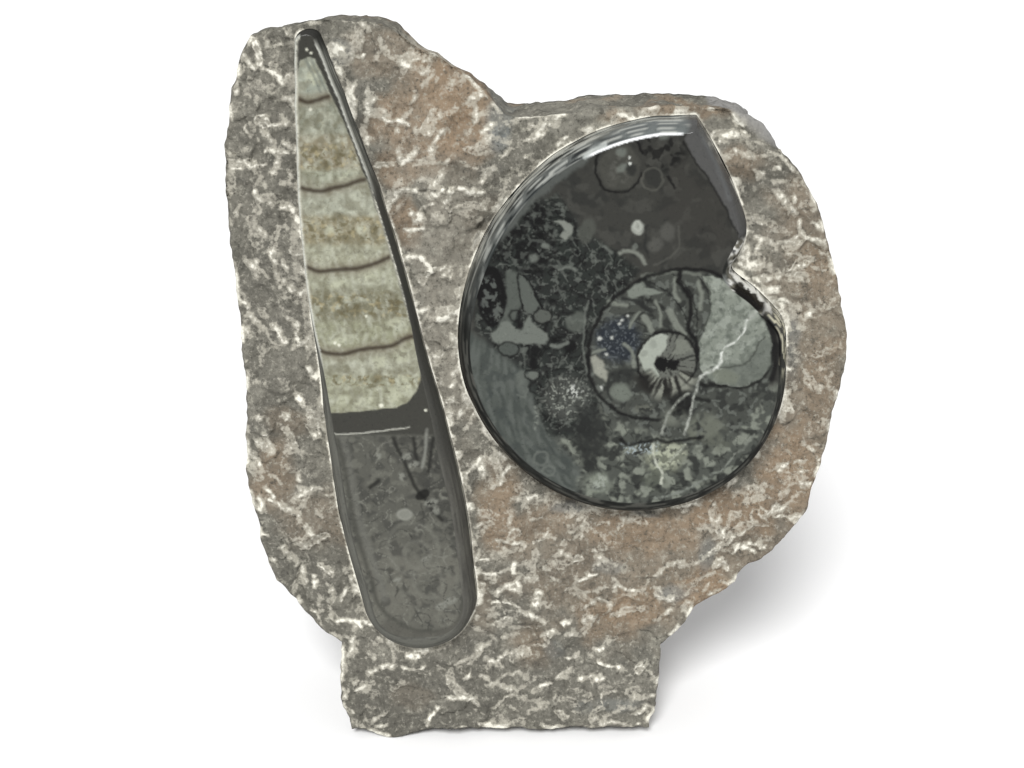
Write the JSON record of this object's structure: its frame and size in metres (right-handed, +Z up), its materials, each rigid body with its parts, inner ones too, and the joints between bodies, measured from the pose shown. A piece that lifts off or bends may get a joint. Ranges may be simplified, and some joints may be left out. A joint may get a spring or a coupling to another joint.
{
  "type": "orthoceras fossil",
  "caption": "Chiselled slab of fossil limestone on a flat-cut foot, with a polished straight orthoceras and a polished coiled goniatite standing proud of its face.",
  "frame": {"origin": "on the floor, in the middle of the flat-sawn foot", "axes": "+Z up the slab, the carved face looks along -Y, +X to the right of someone facing it"},
  "size_m": [0.1468, 0.0529, 0.1801],
  "materials": {
    "chiselled_limestone": "grey-brown matrix with rust stains, hand chiselled, matt, with white bruise marks",
    "polished_orthoceras": "polished calcite chambers with dark septa above a dark grey living chamber",
    "polished_goniatite": "polished black fossil limestone with grey and pale green calcite"
  },
  "bodies": {
    "root": {"matrix_slab": "chiselled_limestone", "orthoceras": "polished_orthoceras", "goniatite": "polished_goniatite"}
  },
  "joints": []
}
